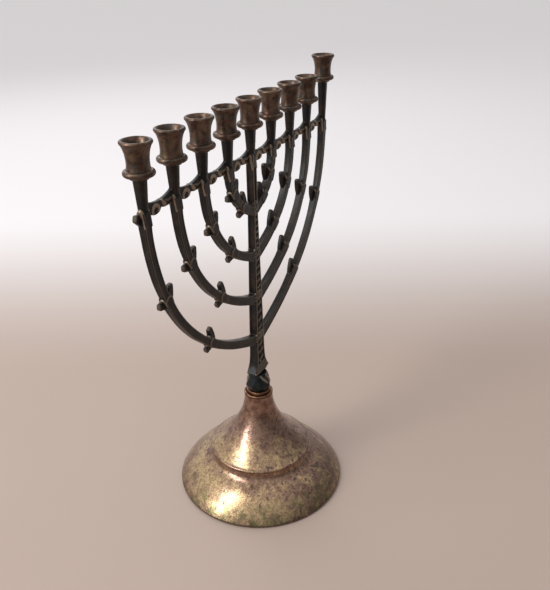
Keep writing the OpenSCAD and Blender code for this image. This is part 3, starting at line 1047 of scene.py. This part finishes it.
def cup_brass():
    """Turned brass gone brown and grey, with copper-red and olive patches and dark blotches."""
    s = Shader("cup_brass")
    broad = s.noise(5, 5, 0.62, 0.5, seed=41.0)
    mid = s.noise(1.5, 4, 0.62, seed=42.0)
    fine = s.noise(0.45, 4, 0.65, seed=43.0)
    color = s.mix(s.remap(broad, 0.36, 0.64), (0.052, 0.034, 0.026), (0.150, 0.100, 0.072))
    grey = s.remap(s.noise(4, 4, 0.6, seed=44.0), 0.50, 0.64)
    color = s.mix(s.math("MULTIPLY", grey, 0.65), color, (0.062, 0.066, 0.066))
    copper = s.remap(s.noise(3, 4, 0.6, seed=45.0), 0.54, 0.68)
    color = s.mix(s.math("MULTIPLY", copper, 0.65), color, (0.155, 0.064, 0.042))
    olive = s.remap(s.noise(3.5, 4, 0.6, seed=46.0), 0.56, 0.70)
    color = s.mix(s.math("MULTIPLY", olive, 0.6), color, (0.095, 0.086, 0.038))
    color = s.mix(s.math("MULTIPLY", s.remap(mid, 0.56, 0.70), 0.75), color, (0.020, 0.014, 0.013))
    normal = s.bump(s.math("ADD", fine, s.math("MULTIPLY", mid, 1.2)), 0.07, 0.55)
    return s.finish(color, s.remap(mid, 0.3, 0.7, 0.30, 0.48), 0.9, normal)


def screw_brass():
    """Bright brass with brown blotches."""
    s = Shader("screw_brass")
    blotch = s.noise(1.4, 4, 0.6, seed=51.0)
    color = s.mix(s.remap(blotch, 0.4, 0.62), (0.50, 0.36, 0.17), (0.20, 0.125, 0.07))
    return s.finish(color, s.remap(blotch, 0.3, 0.7, 0.3, 0.5), 1.0, s.bump(blotch, 0.04, 0.4))


def steel_hardware():
    """Plain steel with fine level lines and a touch of rust brown."""
    s = Shader("steel_hardware")
    blotch = s.noise(2.5, 5, 0.6, seed=61.0)
    lines = s.noise(0.35, 2, 0.5, vector=s.stretch(0.2, 0.2, 2.0), seed=62.0)
    color = s.mix(s.remap(blotch, 0.4, 0.66), (0.42, 0.41, 0.39), (0.27, 0.23, 0.19))
    return s.finish(color, s.remap(blotch, 0.3, 0.7, 0.28, 0.5), 1.0, s.bump(lines, 0.03, 0.4))


def floor_surface():
    """A plain beige floor, paler in the distance."""
    s = Shader("floor_pale")
    blotch = s.noise(90, 4, 0.5, seed=71.0)
    near = s.mix(blotch, (0.415, 0.325, 0.278), (0.435, 0.342, 0.294))
    far = (0.82, 0.80, 0.82)
    color = s.mix(s.remap(s.along(STRAIGHT_AWAY), 120, 520), near, far)
    return s.finish(color, 0.6, 0.0)


def dress(obj, material, slot, *replaced):
    """Gives a piece its material, hangs it from the frame's root body and hides the CAD parts it stands
    for; slot is not used.
    """
    obj.data.materials.clear()
    obj.data.materials.append(material)
    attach(obj, "root")
    if replaced:
        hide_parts(*replaced)


# -------- build

TREE_VOXEL = 0.32
TREE_WEAR_ROUNDS = 12
KNOP_VOXEL = 0.3

tree_shape = build_tree()
tree = fuse(tree_shape.mesh("tree"), TREE_VOXEL, 2)
mark_wear(tree, TREE_WEAR_ROUNDS)
mark_rims(tree, tree_shape.rims)
tree.name = "branch_tree"
dress(tree, tree_patina(), "tree_patina", "tree_casting")

knop_shape = build_knop()
knop_piece = fuse(knop_shape.mesh("knop_cut"), KNOP_VOXEL, 1)
mark_wear(knop_piece, 10)
mark_rims(knop_piece, knop_shape.rims)
knop_piece.name = "faceted_knop"
dress(knop_piece, knop_patina(), "knop_patina", "knop")

dress(lathe("spun_base", base_profile(), 192), base_brass(), "base_brass", "base_shell")
dress(lathe("turned_collar", collar_profile(), 128), collar_brass(), "collar_brass", "neck_collar")
cup_material = cup_brass()
for k in range(1, CUPS + 1):
    cup = lathe(f"turned_cup_{k}", cup_profile(k), 96, centre=(cup_x(k), 0.0))
    dress(cup, cup_material, "cup_brass", f"candle_cup_{k}")

steel = steel_hardware()
for name in ("tie_stud", "stud_washer", "spring_washer", "stud_nut"):
    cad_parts[name].data.materials.clear()
    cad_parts[name].data.materials.append(steel)
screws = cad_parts["cup_screws"]
screws.data.materials.clear()
screws.data.materials.append(screw_brass())

# -------- stage

floor_data = bpy.data.meshes.new("floor")
floor_half = 6.0
corners = [(sx * floor_half, sy * floor_half, 0) for sx, sy in ((-1, -1), (1, -1), (1, 1), (-1, 1))]
floor_data.from_pydata(corners, [], [(0, 1, 2, 3)])
floor = bpy.data.objects.new("floor", floor_data)
floor_data.materials.append(floor_surface())
bpy.context.scene.collection.objects.link(floor)

# -------- camera

VIEW_YAW, VIEW_PITCH, VIEW_ROLL = math.radians(62.33), math.radians(27.27), math.radians(-1.0)
EYE = Vector((-316.74, -179.48, 324.28)) * METRES
forward = Vector((math.cos(VIEW_PITCH) * math.sin(VIEW_YAW),
                  math.cos(VIEW_PITCH) * math.cos(VIEW_YAW),
                  -math.sin(VIEW_PITCH)))
level = Vector((math.cos(VIEW_YAW), -math.sin(VIEW_YAW), 0))
upright = level.cross(forward)
right = level * math.cos(VIEW_ROLL) + upright * math.sin(VIEW_ROLL)
up = right.cross(forward)
camera_data = bpy.data.cameras.new("camera")
camera_data.sensor_fit = "AUTO"
camera_data.sensor_width = 36
camera_data.lens = 41.07
camera_data.clip_end = 100
camera = bpy.data.objects.new("camera", camera_data)
camera.matrix_world = Matrix(((right.x, up.x, -forward.x, EYE.x),
                              (right.y, up.y, -forward.y, EYE.y),
                              (right.z, up.z, -forward.z, EYE.z),
                              (0, 0, 0, 1)))
bpy.context.scene.collection.objects.link(camera)
bpy.context.scene.camera = camera

# -------- light

LAMP_COLOUR = (1.0, 0.99, 0.98)


def soft_box(name, place, target, width, height, power):
    """A rectangular lamp at a place, facing a target."""
    data = bpy.data.lights.new(name, "AREA")
    data.shape = "RECTANGLE"
    data.size = width
    data.size_y = height
    data.energy = power
    data.color = LAMP_COLOUR
    lamp = bpy.data.objects.new(name, data)
    lamp.location = place
    lamp.rotation_euler = (Vector(target) - Vector(place)).to_track_quat("-Z", "Y").to_euler()
    bpy.context.scene.collection.objects.link(lamp)


middle = Vector((0, 0, 0.12))
ahead = Vector((forward.x, forward.y, 0)).normalized()
window_place = middle - level * 0.95 - ahead * 0.60 + Vector((0, 0, 0.75))
back_place = middle + ahead * 1.2 - level * 0.5 + Vector((0, 0, 0.9))
soft_box("window", window_place, middle, width=0.40, height=1.1, power=11.5)
soft_box("back", back_place, middle, width=1.0, height=0.5, power=4)

# An even room that is brighter overhead and on the window's side, and darker behind the viewer.
world = bpy.data.worlds.new("soft_room")
world.use_nodes = True
room = world.node_tree
background = room.nodes["Background"]
coords = room.nodes.new("ShaderNodeTexCoord")
toward = room.nodes.new("ShaderNodeVectorMath")
toward.operation = "DOT_PRODUCT"
toward.inputs[1].default_value = (ahead * 0.15 - level * 0.45 + Vector((0, 0, 0.80))).normalized()
ramp = room.nodes.new("ShaderNodeMapRange")
ramp.interpolation_type = "SMOOTHSTEP"
ramp.inputs["From Min"].default_value = -0.45
ramp.inputs["From Max"].default_value = 0.95
ramp.inputs["To Min"].default_value = 0.22
ramp.inputs["To Max"].default_value = 0.95
room.links.new(coords.outputs["Generated"], toward.inputs[0])
room.links.new(toward.outputs["Value"], ramp.inputs["Value"])
room.links.new(ramp.outputs["Result"], background.inputs["Strength"])
background.inputs["Color"].default_value = (1.0, 0.98, 0.97, 1)
bpy.context.scene.world = world
bpy.context.scene.view_settings.view_transform = "Standard"
